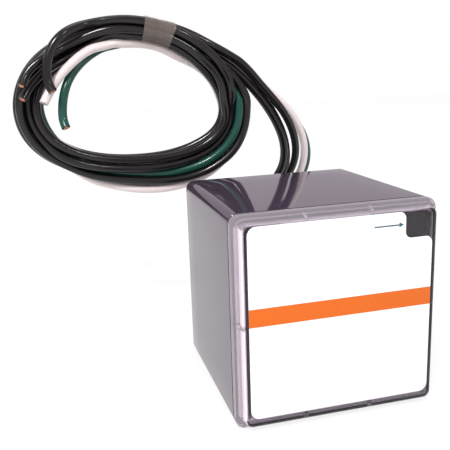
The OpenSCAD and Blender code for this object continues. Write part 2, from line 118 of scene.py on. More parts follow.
class Finish:
    def __init__(self, name, owner=None):
        self.material = owner or bpy.data.materials.new(name)
        self.material.use_nodes = True
        self.tree = self.material.node_tree
        self.tree.nodes.clear()
        self.place = None if owner else self.node("ShaderNodeTexCoord", out="Object")

    def node(self, kind, settings=None, inputs=None, out=0):
        made = self.tree.nodes.new(kind)
        for key, value in (settings or {}).items():
            if key == "stops":
                self.setStops(made.color_ramp, value)
            else:
                setattr(made, key, value)
        for key, value in (inputs or {}).items():
            if isinstance(value, Signal):
                self.tree.links.new(value.socket, made.inputs[key])
            else:
                made.inputs[key].default_value = value
        return Signal(self, made.outputs[out]) if made.outputs else None

    def setStops(self, ramp, stops):
        ramp.elements[0].position = stops[0][0]
        ramp.elements[1].position = stops[-1][0]
        for position, colour in stops[1:-1]:
            ramp.elements.new(position)
        for element, (position, colour) in zip(ramp.elements, stops):
            element.color = (*colour, 1)

    def noise(self, scale, detail=3.0, roughness=0.55, where=None):
        inputs = {"Vector": where or self.place, "Scale": scale, "Detail": detail, "Roughness": roughness}
        return self.node("ShaderNodeTexNoise", {}, inputs)

    def stretched(self, x, y, z):
        settings = {"operation": "MULTIPLY"}
        return self.node("ShaderNodeVectorMath", settings, {0: self.place, 1: (x, y, z)})

    def axes(self):
        return [self.node("ShaderNodeSeparateXYZ", {}, {0: self.place}, k) for k in range(3)]

    def mix(self, factor, first, second):
        first = first if isinstance(first, Signal) else (*first, 1)
        second = second if isinstance(second, Signal) else (*second, 1)
        return self.node("ShaderNodeMix", {"data_type": "RGBA"}, {0: factor, 6: first, 7: second}, 2)

    def bump(self, height, distance, strength=1.0):
        inputs = {"Height": height, "Distance": distance, "Strength": strength}
        return self.node("ShaderNodeBump", {}, inputs)

    def shade(self, sockets):
        body = self.node("ShaderNodeBsdfPrincipled", {}, sockets)
        self.node("ShaderNodeOutputMaterial", {}, {"Surface": body})
        return self.material


# moulded and rubbery surfaces: cloudy colour, smudged gloss and a fine grain
def plastic(name, s):
    f = Finish(name)
    cloud = f.noise(s.get("cloudScale", 60), 4)
    colour = f.mix(cloud, s["dark"], s["light"])
    # an optional function paints shade over part of the colour
    if "paintedShade" in s:
        colour = s["paintedShade"](f, colour)
    smudge = f.noise(140, 5, 0.6)
    rough = s["roughness"] + (smudge - 0.5) * s.get("smudge", 0.08)
    grain = f.noise(s.get("grainScale", 2600), 2)
    sockets = {
        "Base Color": colour,
        "Roughness": rough.clamped(),
        "Normal": f.bump(grain, s.get("grainDepth", 0.00001), s.get("grain", 0.3)),
        "IOR": s.get("ior", 1.5),
        "Specular IOR Level": s.get("specular", 0.5),
        "Specular Tint": (*s.get("tint", (1, 1, 1)), 1),
        "Coat Weight": s.get("coat", 0.0),
        "Coat Roughness": 0.05,
        "Transmission Weight": s.get("transmission", 0.0),
        "Alpha": s.get("alpha", 1.0),
    }
    # an optional glow adds emission; on the cover it is a painted highlight
    if "glow" in s:
        sockets["Emission Color"] = s["glow"](f)
        sockets["Emission Strength"] = 1.0
    return f.shade(sockets)


# plated and bare metals: stained colour with drawn lines
def metal(name, s):
    f = Finish(name)
    stain = f.noise(180, 5, 0.6)
    lines = f.noise(90, 3, 0.6, f.stretched(*s.get("brush", (1, 30, 1))))
    tint = f.mix((stain * 0.6 + lines * 0.4).clamped(), s["dark"], s["light"])
    rough = s["roughness"] + (stain - 0.5) * 0.16 + (lines - 0.5) * 0.1
    sockets = {
        "Base Color": tint,
        "Metallic": 1.0,
        "Roughness": rough.clamped(),
        "Normal": f.bump(lines + stain * 0.4, 0.00002, s.get("grain", 0.35)),
    }
    return f.shade(sockets)


def giveFinish(nodeName, material):
    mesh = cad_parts[nodeName].data
    mesh.materials.clear()
    mesh.materials.append(material)


def addPiece(name, verts, faces, material, body="case", sharp=35):
    mesh = bpy.data.meshes.new(name)
    mesh.from_pydata([tuple(float(c) for c in v) for v in verts], [], faces)
    mesh.validate()
    work = bmesh.new()
    work.from_mesh(mesh)
    bmesh.ops.remove_doubles(work, verts=work.verts, dist=1e-7)
    bmesh.ops.recalc_face_normals(work, faces=work.faces)
    work.to_mesh(mesh)
    work.free()
    mesh.materials.append(material)
    mesh.shade_smooth()
    mesh.set_sharp_from_angle(angle=math.radians(sharp))
    piece = bpy.data.objects.new(name, mesh)
    scene.collection.objects.link(piece)
    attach(piece, body)
    return piece


def loft(loops, ring=False):
    # quads between loops of equal count, in metres from millimetres; ring joins the last loop to the first
    loops = [np.asarray(loop, float) * mm for loop in loops]
    count = len(loops[0])
    verts = np.concatenate(loops)
    faces = []
    pairs = len(loops) if ring else len(loops) - 1
    for a in range(pairs):
        b = (a + 1) % len(loops)
        for k in range(count):
            n = (k + 1) % count
            faces.append((a * count + k, a * count + n, b * count + n, b * count + k))
    if not ring:
        faces.append(tuple(range(count - 1, -1, -1)))
        last = (len(loops) - 1) * count
        faces.append(tuple(last + k for k in range(count)))
    return verts, faces


def roundedLoop(halfWidth, low, high, radius, y, corner=9, side=5):
    # rounded rectangle in the x-z plane at depth y
    loop = []
    corners = [(1, 1, 0), (-1, 1, 90), (-1, -1, 180), (1, -1, 270)]
    points = []
    for sx, sz, start in corners:
        cx = sx * (halfWidth - radius)
        cz = (high - radius) if sz > 0 else (low + radius)
        bearings = [math.radians(start + 90 * k / (corner - 1)) for k in range(corner)]
        points.append([(cx + radius * math.cos(t), cz + radius * math.sin(t)) for t in bearings])
    for k in range(4):
        loop += points[k]
        ax, az = points[k][-1]
        bx, bz = points[(k + 1) % 4][0]
        for j in range(1, side + 1):
            t = j / (side + 1)
            loop.append((ax + (bx - ax) * t, az + (bz - az) * t))
    return [(x, y, z) for x, z in loop]


def circleLike(loop, centre, radius, y):
    # circle whose points stand at the same bearings as the loop's
    out = []
    for x, _, z in loop:
        t = math.atan2(z - centre[1], x - centre[0])
        out.append((centre[0] + radius * math.cos(t), y, centre[1] + radius * math.sin(t)))
    return out


def lathe(profile, centre, count=96):
    # profile of (radius, y) turned about an axis along y through centre (x, z)
    loops = []
    for radius, y in profile:
        loops.append([(centre[0] + radius * math.cos(2 * math.pi * k / count), y,
                       centre[1] + radius * math.sin(2 * math.pi * k / count)) for k in range(count)])
    return loft(loops, ring=True)


# millimetres and degrees; the coil is an ellipse that leans by coilTilt
leads = {
    "diameter": 4.2,
    "step": 2.0,
    "coilCentre": (-56.5, 74, 117),
    "coilHalf": (50.5, 35.5),
    "coilTilt": -11,
    "firstAngle": 78,
    "angleStep": 12.0,
    "endGap": 8,
}

# how the guides are pushed apart and smoothed; counts are in steps along a lead
settling = {
    "rounds": 150, "calmRounds": 20, "ease": 0.24, "calmEase": 0.12,
    "hold": 0.012, "riserHold": 0.25, "riserCount": 75, "endHold": 0.2, "endCount": 26,
    "neighbours": 7, "reach": 1.035, "push": 0.32, "furthest": 0.5,
}

routes = {
    "leadBlackA": [(-2.2, 62.75, 45.6), (-1.9, 73.2, 46.6), (3.7, 84, 54.5), (14.5, 85.5, 67.5),
                   (22.5, 81, 80.5), (22.8, 78.2, 93), (18.5, 76.7, 104.5), (11.5, 75.4, 115.5),
                   (2, 73.5, 126.5), (-8, 72.5, 136), (-19, 72, 143)],
    "leadBlackB": [(2.2, 62.75, 45.6), (3.5, 73.5, 46.2), (11.5, 87, 53.5), (20.5, 90, 66),
                   (26.3, 85.5, 80.5), (25.5, 82.7, 93), (21.2, 81.2, 104.5), (14, 79.8, 116),
                   (4.5, 78.5, 127.5), (-6, 78, 137.5), (-18, 77.5, 145)],
    "leadBlackC": [(-3.5, 62.75, 41.5), (-3.4, 74, 41.3), (6.5, 89.5, 48.5), (18.5, 94.8, 60.5),
                   (30.5, 88.3, 77), (31.2, 81.9, 90.5), (27.3, 78.7, 102.5), (20, 76.2, 113.8),
                   (9.5, 73.2, 125), (-4.5, 69.2, 138.5), (-18, 67.5, 146)],
    "leadWhite": [(3.5, 62.75, 41.5), (5, 74, 41.6), (16.5, 90.5, 47.5), (29, 96.5, 60),
                  (37.5, 90.5, 76.5), (38, 86.2, 89), (34, 83.4, 101), (25, 82, 113.5),
                  (12.3, 81.8, 124.8), (-1, 82, 136.3), (-14.5, 82, 143.5)],
    "leadGreen": [(0, 62.75, 38.9), (1.5, 74.5, 38.4), (13, 93.5, 42.5), (28.5, 102, 55.5),
                  (41, 98, 72), (42, 92, 85.5), (37.5, 89, 98.5), (27, 87.6, 110.5),
                  (13.5, 87, 121.2), (0.5, 87, 133.2), (-13.5, 86, 141.2)],
}

freeEnds = {
    "leadBlackA": [(-87, 70, 143), (-97, 66.6, 138), (-106, 65.4, 130.5), (-110.2, 62.4, 124.5)],
    "leadBlackB": [(-90, 67, 147), (-99, 62.8, 142.5), (-107, 61, 136.5), (-110, 58.2, 130.9)],
    "leadBlackC": [(-80, 66, 157), (-88.5, 61, 153.8), (-94.8, 58.8, 148), (-98, 57.6, 140),
                   (-98.4, 57.2, 132.5), (-95.8, 54.6, 126.2)],
    "leadWhite": [(-76, 67, 146.5), (-86, 63.3, 140.5), (-95, 61.5, 131.5), (-102, 57.6, 120.9)],
    "leadGreen": [(-84, 69, 138), (-90.3, 64, 129), (-92.8, 62.6, 118.5), (-92.7, 61.4, 113),
                  (-91.3, 58.8, 109.2)],
}

# place in the bundle by angle wound: out from its middle line, and to the front
lays = {
    "leadBlackA": {54: (4.8, 1), 90: (6, 0.2), 120: (2.8, -0.4), 150: (4, -0.8), 180: (6.6, -0.2),
                   210: (8.4, -1), 240: (3.6, -2.4), 270: (1.6, -4.2), 300: (3.4, -3.8), 360: (6, -3.4),
                   405: (5, -5.2), 450: (1.8, -6.6), 490: (-1.4, -8.4), 540: (1.8, -6.4),
                   574: (0.4, -5.8), 600: (-4.2, -4.4), 630: (-9.4, -4), 660: (-10, -3),
                   690: (-7.6, -2), 720: (-4.4, -1.4), 765: (-3.4, 3.4), 810: (-0.8, 5),
                   845: (-3.6, 4.2)},
    "leadBlackB": {54: (6.7, -3.5), 90: (6, -4.2), 120: (2.6, -4.8), 150: (3.4, -5.2), 180: (5.8, -4.6),
                   210: (5.6, -5), 240: (0.2, -6.4), 270: (-5, -5), 300: (-4, -4.4), 360: (1.2, -3.6),
                   405: (-1, -5.2), 450: (-2.2, -7), 490: (-5.2, -2.4), 540: (-1.8, 5.6),
                   574: (-0.6, 7), 600: (-4.8, 6), 630: (-9.8, 3.4), 660: (-10, 3.2), 690: (-7.2, 3.4),
                   720: (-3.6, 3.8), 765: (-0.2, 6.8), 810: (2.4, 8), 845: (0.8, 7.4)},
    "leadBlackC": {54: (7.2, 6.5), 90: (6, 4.8), 120: (3, 3.6), 150: (3.6, 3.6), 180: (5.8, 4.2),
                   210: (6.8, 3.4), 240: (3, 2), 270: (0, 1.4), 300: (2, 2.4), 360: (6.6, 4.2),
                   405: (4.2, 3.6), 450: (2.2, 1.4), 490: (-1.2, 0), 540: (2, 1.9), 574: (2.6, 3.6),
                   600: (-0.4, 5.6), 630: (-5.4, 3), 660: (-5.4, 1.6), 690: (-2.8, 1), 720: (-0.2, 1.4),
                   745: (2, 5), 765: (3.6, 8), 790: (5.2, 9), 815: (5.8, 9)},
    "leadWhite": {51: (7.7, -7), 90: (5.6, -8.4), 120: (2, -9.2), 150: (3, -9.2), 180: (5.2, -8.9),
                  215: (4, -9), 240: (4, -6.4), 258: (4.8, -2.4), 275: (5.4, 0), 300: (6.2, 0.4),
                  330: (6, 0.5), 360: (4, 0.4), 405: (2.2, -1.8), 450: (1.8, -2.6), 490: (-1.6, -4.4),
                  540: (-1.2, -3.2), 574: (-0.8, -1.6), 600: (-3, -0.2), 630: (-6.8, -0.4),
                  660: (-7, -0.6), 690: (-4.8, -2.6), 720: (-2.6, -5.4), 745: (-3, -3), 765: (-3, -1),
                  785: (-3.2, 0), 810: (-3.4, 1.6), 832: (-4.6, 5.6)},
    "leadGreen": {47: (6.7, -12), 90: (2.2, -11.6), 120: (-0.8, -12), 180: (0.4, -10.4),
                  210: (-0.2, -10), 240: (-0.8, -9.8), 270: (-2, -8), 300: (-0.8, -7.6),
                  360: (2.2, -7.8), 405: (0.2, -9.2), 450: (-2.2, -11), 490: (-5, -6.8), 540: (-2.6, 1),
                  574: (-1.6, 2.6), 600: (-0.8, 1.8), 630: (-2, 0), 660: (-1.6, 1.6), 690: (0.8, 3.4),
                  720: (2.6, 5), 765: (0.8, 2.4), 790: (-0.8, -1), 810: (-2.8, -2.6), 835: (-6, 0.4)},
}

lastAngles = {"leadBlackA": 852, "leadBlackB": 852, "leadBlackC": 836, "leadWhite": 836, "leadGreen": 850}


def cubicThrough(at, values, wanted):
    # natural cubic spline through values at the given places
    at = np.asarray(at, float)
    values = np.asarray(values, float).reshape(len(at), -1)
    gap = np.diff(at)
    slope = np.diff(values, axis=0) / gap[:, None]
    count = len(at)
    system = np.eye(count)
    known = np.zeros_like(values)
    for k in range(1, count - 1):
        system[k, k - 1] = gap[k - 1]
        system[k, k] = 2 * (gap[k - 1] + gap[k])
        system[k, k + 1] = gap[k]
        known[k] = 6 * (slope[k] - slope[k - 1])
    bend = np.linalg.solve(system, known)
    wanted = np.asarray(wanted, float)
    k = np.clip(np.searchsorted(at, wanted, side="right") - 1, 0, count - 2)
    t = (wanted - at[k])[:, None]
    h = gap[k][:, None]
    linear = slope[k] - h * (2 * bend[k] + bend[k + 1]) / 6
    return values[k] + t * linear + t * t * bend[k] / 2 + t ** 3 * (bend[k + 1] - bend[k]) / (6 * h)


def coilPoint(angle, outward, forward):
    a, b = leads["coilHalf"]
    cx, cy, cz = leads["coilCentre"]
    tilt = math.radians(leads["coilTilt"])
    t = math.radians(angle)
    nx, nz = b * math.cos(t), a * math.sin(t)
    size = math.hypot(nx, nz)
    x = a * math.cos(t) + outward * nx / size
    z = b * math.sin(t) + outward * nz / size
    across = x * math.cos(tilt) - z * math.sin(tilt)
    up = x * math.sin(tilt) + z * math.cos(tilt)
    return (cx + across, cy - forward, cz + up)


def evenly(points, step):
    points = np.asarray(points, float)
    run = np.concatenate([[0], np.cumsum(np.linalg.norm(np.diff(points, axis=0), axis=1))])
    fine = cubicThrough(run, points, np.linspace(0, run[-1], 4000))
    run = np.concatenate([[0], np.cumsum(np.linalg.norm(np.diff(fine, axis=0), axis=1))])
    count = int(round(run[-1] / step))
    spots = np.linspace(0, run[-1], count + 1)
    return np.stack([np.interp(spots, run, fine[:, k]) for k in range(3)], axis=1)


def guideOf(name):
    keys = sorted(lays[name])
    angles = np.arange(leads["firstAngle"], lastAngles[name] - leads["endGap"], leads["angleStep"])
    slots = cubicThrough(keys, [lays[name][k] for k in keys], np.minimum(angles, keys[-1]))
    turns = [coilPoint(a, *s) for a, s in zip(angles, slots)]
    return evenly(list(routes[name]) + turns + list(freeEnds[name]), leads["step"])


def settleLeads():
    s = settling
    names = list(routes)
    guides = [guideOf(n) for n in names]
    guide = np.concatenate(guides)
    owner = np.concatenate([np.full(len(g), k) for k, g in enumerate(guides)])
    order = np.concatenate([np.arange(len(g)) for g in guides])
    left = np.concatenate([np.arange(len(g))[::-1] for g in guides])
    hold = np.full(len(guide), s["hold"])
    hold[order < s["riserCount"]] = s["riserHold"]
    hold[left < s["endCount"]] = s["endHold"]
    fixed = (order < 3) | (left < 2)
    same = owner[:, None] == owner[None, :]
    near = same & (np.abs(order[:, None] - order[None, :]) < s["neighbours"])
    spots = guide.copy()
    inner = np.where((order > 0) & (left > 0))[0]
    reach = leads["diameter"] * s["reach"]
    for turn in range(s["rounds"]):
        square = (spots ** 2).sum(1)
        gaps = square[:, None] + square[None, :] - 2 * spots @ spots.T
        gaps[near] = 1e9
        i, j = np.nonzero(np.triu(gaps < reach * reach, 1))
        away = spots[i] - spots[j]
        far = np.maximum(np.linalg.norm(away, axis=1), 1e-3)
        push = away * ((reach - far) / far * s["push"])[:, None]
        shift = np.zeros_like(spots)
        np.add.at(shift, i, push)
        np.add.at(shift, j, -push)
        limit = np.maximum(1, np.linalg.norm(shift, axis=1) / s["furthest"])
        spots += shift / limit[:, None]
        ease = s["ease"] if turn < s["rounds"] - s["calmRounds"] else s["calmEase"]
        middle = (spots[inner - 1] + spots[inner + 1]) / 2
        spots[inner] += ease * (middle - spots[inner])
        spots += (guide - spots) * hold[:, None]
        spots[fixed] = guide[fixed]
    print("leads settled, pairs still touching", len(i))
    return {n: evenly(spots[owner == k][::2], leads["step"]) for k, n in enumerate(names)}


def leadFinish(name, s):
    f = Finish(name)
    cloud = f.noise(70, 3)
    scuff = f.noise(420, 5, 0.65)
    colour = f.mix(cloud, s["dark"], s["light"])
    rough = s["roughness"] + (scuff - 0.5) * 0.12
    wave = f.noise(110, 2)
    sockets = {
        "Base Color": colour,
        "Roughness": rough.clamped(),
        "Normal": f.bump(wave + scuff * 0.04, 0.00012, 0.28),
        "Specular IOR Level": s["specular"],
        "Coat Weight": s["coat"],
        "Coat Roughness": 0.04,
    }
    return f.shade(sockets)


leadFinishes = {
    "black": {"dark": (0.004, 0.003, 0.004), "light": (0.011, 0.009, 0.010), "roughness": 0.17,
              "specular": 0.42, "coat": 0.0},
    "white": {"dark": (0.72, 0.63, 0.61), "light": (0.82, 0.74, 0.72), "roughness": 0.22,
              "specular": 0.5, "coat": 0.2},
    "green": {"dark": (0.005, 0.050, 0.037), "light": (0.012, 0.082, 0.062), "roughness": 0.2,
              "specular": 0.4, "coat": 0.0},
}
jackets = {
    "black": leadFinish("blackJacket", leadFinishes["black"]),
    "white": leadFinish("whiteJacket", leadFinishes["white"]),
    "green": leadFinish("greenJacket", leadFinishes["green"]),
}
copperFinish = {"dark": (0.50, 0.19, 0.10), "light": (0.90, 0.46, 0.30), "roughness": 0.28,
                "brush": (1, 1, 1)}
copper = metal("strandedCopper", copperFinish)
tinnedFinish = {"dark": (0.34, 0.31, 0.34), "light": (0.66, 0.61, 0.66), "roughness": 0.3,
                "brush": (1, 1, 1)}
tinned = metal("tinnedCopper", tinnedFinish)

strands = {"wire": 0.25, "reach": 0.4, "rings": ((0, 1), (0.5, 6), (0.98, 12))}


def addStrands(name, tip, along, finish):
    # the cut core: one wire, six round it and twelve round those, each with a blunt end
    along = Vector(along).normalized()
    side = along.cross(Vector((0.2, 0.9, 0.3))).normalized()
    across = along.cross(side)
    tip = Vector(tip)
    verts = []
    faces = []
    for radius, count in strands["rings"]:
        for k in range(count):
            t = 2 * math.pi * (k + 0.5 * (radius > 0.6)) / count
            centre = tip + radius * (math.cos(t) * side + math.sin(t) * across)
            length = strands["reach"] * (1 - 0.16 * ((k * 7 + int(radius * 10)) % 5) / 4)
            base = len(verts)
            for out, scale in ((-0.4, 1), (length * 0.8, 1), (length, 0.7)):
                for j in range(10):
                    a = 2 * math.pi * j / 10
                    offset = strands["wire"] * scale * (math.cos(a) * side + math.sin(a) * across)
                    verts.append((centre + along * out + offset) * mm)
            for row in range(2):
                for j in range(10):
                    n = (j + 1) % 10
                    low = base + row * 10
                    faces.append((low + j, low + n, low + 10 + n, low + 10 + j))
            faces.append(tuple(base + j for j in range(9, -1, -1)))
            faces.append(tuple(base + 20 + j for j in range(10)))
    piece = addPiece(name, verts, faces, finish, sharp=40)
    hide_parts("stripped_ends")
    return piece


nodeTags = {"leadBlackA": "black_a", "leadBlackB": "black_b", "leadBlackC": "black_c",
            "leadWhite": "white", "leadGreen": "green"}


def addLead(name, path):
    colour = "white" if name == "leadWhite" else "green" if name == "leadGreen" else "black"
    curve = bpy.data.curves.new(name, "CURVE")
    curve.dimensions = "3D"
    curve.bevel_depth = leads["diameter"] / 2 * mm
    curve.bevel_resolution = 5
    curve.use_fill_caps = True
    spline = curve.splines.new("POLY")
    spline.points.add(len(path) - 1)
    for point, (x, y, z) in zip(spline.points, path):
        point.co = (x * mm, y * mm, z * mm, 1)
    spline.use_smooth = True
    curve.materials.append(jackets[colour])
    lead = bpy.data.objects.new(name, curve)
    scene.collection.objects.link(lead)
    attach(lead, "case")
    colour + "_lead"
    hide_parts("riser_" + nodeTags[name], "end_" + nodeTags[name], "lead_coil")
    return lead


def turnAngles(path):
    # angle about the coil's middle of each point
    a, b = leads["coilHalf"]
    cx, cy, cz = leads["coilCentre"]
    tilt = math.radians(leads["coilTilt"])
    x = (path[:, 0] - cx) * math.cos(tilt) + (path[:, 2] - cz) * math.sin(tilt)
    z = -(path[:, 0] - cx) * math.sin(tilt) + (path[:, 2] - cz) * math.cos(tilt)
    return np.degrees(np.arctan2(z / b, x / a))


# degrees round the coil; the last lap of the outside lead is left out of the wrap
tape = {"from": 77.0, "to": 93.0, "outside": "leadWhite", "share": 0.8, "stations": 12, "stand": 0.25,
        "thick": 0.22, "round": 56, "wave": 0.06}
tapeFinish = {"dark": (0.20, 0.15, 0.12), "light": (0.42, 0.35, 0.31), "roughness": 0.12, "smudge": 0.1,
              "alpha": 0.24, "coat": 0.6, "cloudScale": 150, "grainScale": 260, "grainDepth": 0.0004,
              "grain": 0.5}


def addTape(paths):
    # film pulled straight from lead to lead round the whole bundle
    angles = np.linspace(tape["from"], tape["to"], tape["stations"])
    outer = []
    inner = []
    for number, angle in enumerate(angles):
        middle = Vector(coilPoint(angle, 0, 0))
        out = (Vector(coilPoint(angle, 1, 0)) - middle).normalized()
        front = Vector((0, -1, 0))
        spots = []
        for name, path in paths.items():
            around = turnAngles(path)
            last = int(len(path) * tape["share"]) if name == tape["outside"] else len(path) - 1
            for k in range(last):
                low, high = around[k] - angle, around[k + 1] - angle
                if low <= 0 < high and high - low < 60:
                    p = Vector(path[k] + (path[k + 1] - path[k]) * (-low / (high - low))) - middle
                    spots.append((p.dot(out), p.dot(front)))
        spots = np.array(spots)
        wave = tape["wave"] * math.sin(number * 1.9)
        for store, extra in ((outer, tape["stand"] + tape["thick"] + wave), (inner, tape["stand"] + wave)):
            loop = []
            for k in range(tape["round"]):
                t = 2 * math.pi * k / tape["round"]
                normal = np.array([math.cos(t), math.sin(t)])
                best = spots[np.argmax(spots @ normal)]
                spot = best + normal * (leads["diameter"] / 2 + extra)
                loop.append(middle + out * spot[0] + front * spot[1])
            store.append([tuple(p) for p in loop])
    verts, faces = loft(outer + inner[::-1], ring=True)
    piece = addPiece("clearTape", verts, faces, plastic("clearFilm", tapeFinish), sharp=60)
    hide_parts("coil_tape")
    return piece


paths = settleLeads()
film = addTape(paths)
for name, path in paths.items():
    lead = addLead(name, path)
    ends = addStrands(name + "Core", path[-1], path[-1] - path[-3],
                      tinned if name == "leadWhite" else copper)
    run = float(np.linalg.norm(np.diff(path, axis=0), axis=1).sum()) * mm
    print(name, "length", round(run, 4))
    tuple(path[0] * mm)
print("leads made")


# millimetres, as in every dictionary of sizes below
case = {
    "width": 84, "height": 85.2, "front": -36.95, "rear": 40.75, "flange": -40.75, "depth": 81.5,
    "sideDraft": 1.2, "topDraft": 0.3, "edge": 4, "wall": 3, "hole": 10.9, "axis": (0, 42.6),
}
caseFinish = {"dark": (0.048, 0.033, 0.052), "light": (0.060, 0.043, 0.066), "roughness": 0.05,
              "smudge": 0.07, "specular": 0.44, "tint": (1.0, 0.78, 1.0), "grainScale": 1500,
              "grain": 0.06, "cloudScale": 30}


def caseLoop(y, shrink, radius):
    c = case
    back = (y - c["flange"]) / c["depth"]
    half = c["width"] / 2 - c["sideDraft"] * back - shrink
    top = c["height"] - c["topDraft"] * back - shrink
    return roundedLoop(half, shrink, top, max(radius, 0.05), y)


def addCase():
    c = case
    outer = [caseLoop(c["front"], 0.25, c["edge"]), caseLoop(c["front"] + 0.25, 0, c["edge"])]
    for y in np.linspace(-30, c["rear"] - c["edge"], 6):
        outer.append(caseLoop(y, 0, c["edge"]))
    for t in np.radians(np.linspace(10, 90, 9)):
        inset = c["edge"] * (1 - math.cos(t))
        outer.append(caseLoop(c["rear"] - c["edge"] * (1 - math.sin(t)), inset, c["edge"] - inset))
    innerRear = c["rear"] - c["wall"]
    inner = []
    for y in (c["front"], c["rear"] - 8, innerRear - 1.2):
        inner.append(caseLoop(y, c["wall"], 2.2))
    inner.append(caseLoop(innerRear, c["wall"] + 1.2, 1.4))
    mouth = circleLike(outer[-1], c["axis"], c["hole"], c["rear"])
    throat = circleLike(outer[-1], c["axis"], c["hole"], innerRear)
    verts, faces = loft(outer + [mouth, throat] + inner[::-1], ring=True)
    shell = addPiece("caseShell", verts, faces, plastic("smokedPlastic", caseFinish))
    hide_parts("housing")


addCase()
print("case made")


# profile and hollow: (inset from the outline, y)
cover = {
    "halfWidth": 42, "height": 85.2, "back": -37.75, "front": -45.75,
    "profile": [(0.25, -37.75), (0.0, -38.0), (0.0, -40.4), (0.1, -40.65), (0.35, -40.75),
                (1.12, -40.75), (1.2, -40.85), (1.24, -42.25), (1.32, -42.46), (1.55, -42.55),
                (2.42, -42.55), (2.5, -42.65), (2.58, -45.3), (2.7, -45.6), (3.0, -45.75)],
    "hollow": [(4.3, -44.55), (3.85, -44.4), (3.7, -44.0), (3.7, -37.75)],
}


# where the painted highlight on the rim lies, in metres
rim = {"left": -0.0396, "right": -0.0382, "low": 0.0042, "high": 0.081, "snapZ": 0.0428, "snapHalf": 0.0008,
       "glow": (0.34, 0.29, 0.32)}
# where the cover is painted dark over the window (painted shade), in metres; streaks from streaksFrom stay
# light as painted highlights
windowShadeArea = {"left": 0.0262, "right": 0.0379, "low": 0.0712, "high": 0.0814, "front": -0.0452,
        "streaksFrom": 0.0345, "colour": (0.03, 0.022, 0.034)}


def paintedRimHighlight(f):
    # painted highlight: an emission glow laid on the left side of the clear rim, brightest on the raised
    # edge and broken by the snap
    x, _, z = f.axes()
    edge = (x > rim["left"]) * (x < rim["right"]) * (abs(z - rim["snapZ"]) > rim["snapHalf"])
    edge = edge * (z > rim["low"]) * (z < rim["high"])
    streak = f.noise(60, 3, 0.6, f.stretched(6, 6, 0.6))
    return f.mix(edge * (0.75 + streak * 0.5), (0, 0, 0), rim["glow"])


def paintedWindowShade(f, colour):
    # painted shade: the cover's own colour is painted dark over the window where it has no label, standing
    # in for the dark recess behind it, with lighter painted highlight streaks near the corner
    x, y, z = f.axes()
    paintedShade = (x > windowShadeArea["left"]) * (x < windowShadeArea["right"]) * (y < windowShadeArea["front"])
    paintedShade = paintedShade * (z > windowShadeArea["low"]) * (z < windowShadeArea["high"])
    # streaks where the painted shade is lifted: painted highlights
    streak = f.noise(1, 2, 0.5, f.stretched(900, 1, 60)) > 0.62
    clear = streak * (x > windowShadeArea["streaksFrom"])
    return f.mix(paintedShade * (1 - clear * 0.8), colour, windowShadeArea["colour"])


# the cover's glow is a painted highlight on its rim, and the dark patch over the window is painted shade
coverFinish = {"dark": (0.80, 0.73, 0.80), "light": (0.88, 0.82, 0.89), "roughness": 0.04, "smudge": 0.04,
               "ior": 1.49, "transmission": 0.72, "grain": 0.08, "grainScale": 900, "glow": paintedRimHighlight,
               "paintedShade": paintedWindowShade}
# the pane over the label and window is clear plastic given a dark grey tint, painted shade so the window
# behind reads dark
shadeTintedPaneFinish = {"dark": (0.46, 0.42, 0.48), "light": (0.52, 0.48, 0.54), "roughness": 0.03, "smudge": 0.02,
              "ior": 1.45, "specular": 0.2, "transmission": 1.0, "grain": 0.04, "grainScale": 900}
labelShape = {"left": -37.2, "right": 37.8, "low": 5.8, "high": 81.8, "corner": 3.5,
              "notchX": 26.3, "notchZ": 71.3, "front": -45.75, "back": -45.35}


def arc(cx, cz, radius, start, end, count=9):
    angles = np.radians(np.linspace(start, end, count))
    return [(cx + radius * math.cos(t), cz + radius * math.sin(t)) for t in angles]


def labelLoop(grow, y):
    s = labelShape
    r = s["corner"]
    x0, x1 = s["left"] - grow, s["right"] + grow
    z0, z1 = s["low"] - grow, s["high"] + grow
    nx, nz = s["notchX"], s["notchZ"]
    flat = arc(x0 + r, z0 + r, r, 180, 270)
    flat += arc(x1 - r, z0 + r, r, 270, 360)
    flat += arc(x1 - r * 0.8, nz + grow - r * 0.8, r * 0.8, 0, 90)
    flat += arc(nx + grow + r * 0.7, nz + grow + r * 0.7, r * 0.7, 270, 180)
    flat += arc(nx + grow - r * 0.8, z1 - r * 0.8, r * 0.8, 0, 90)
    flat += arc(x0 + r, z1 - r, r, 90, 180)
    return [(x, y, z) for x, z in flat]


def addCover():
    c = cover
    loops = []
    for inset, y in reversed(c["profile"]):
        radius = max(4 - inset * 0.4, 2.2)
        loops.append(roundedLoop(c["halfWidth"] - inset, inset, c["height"] - inset, radius, y))
    for inset, y in reversed(c["hollow"]):
        loops.append(roundedLoop(c["halfWidth"] - inset, inset, c["height"] - inset, 2.0, y))
    material = plastic("clearPlastic", coverFinish)
    verts, faces = loft(loops)
    piece = addPiece("clearCover", verts, faces, material)
    verts, faces = loft([labelLoop(0.05, labelShape["front"] - 1), labelLoop(0.05, labelShape["back"])])
    cutter = bpy.data.meshes.new("seatCutter")
    cutter.from_pydata([tuple(v) for v in verts], [], faces)
    seat = bpy.data.objects.new("seatCutter", cutter)
    scene.collection.objects.link(seat)
    work = bmesh.new()
    work.from_mesh(cutter)
    bmesh.ops.recalc_face_normals(work, faces=work.faces)
    work.to_mesh(cutter)
    work.free()
    cut = piece.modifiers.new("seat", "BOOLEAN")
    cut.operation = "DIFFERENCE"
    cut.solver = "EXACT"
    cut.object = seat
    bpy.context.view_layer.update()
    shaped = bpy.data.meshes.new_from_object(piece.evaluated_get(bpy.context.evaluated_depsgraph_get()))
    piece.modifiers.clear()
    piece.data = shaped
    shaped.materials.append(plastic("shadeTintedPane", shadeTintedPaneFinish))
    for face in shaped.polygons:
        x, y, z = face.center / mm
        if y < c["front"] + 1.3 and abs(x) < 38.4 and 3.6 < z < 81.8 and abs(face.normal.y) > 0.7:
            face.material_index = 1
    shaped.shade_smooth()
    shaped.set_sharp_from_angle(angle=math.radians(28))
    bpy.data.objects.remove(seat)
    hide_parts("front_cover")
    return material


coverMaterial = addCover()

snaps = {"across": 13.5, "half": 0.7, "sideZ": 42.8}


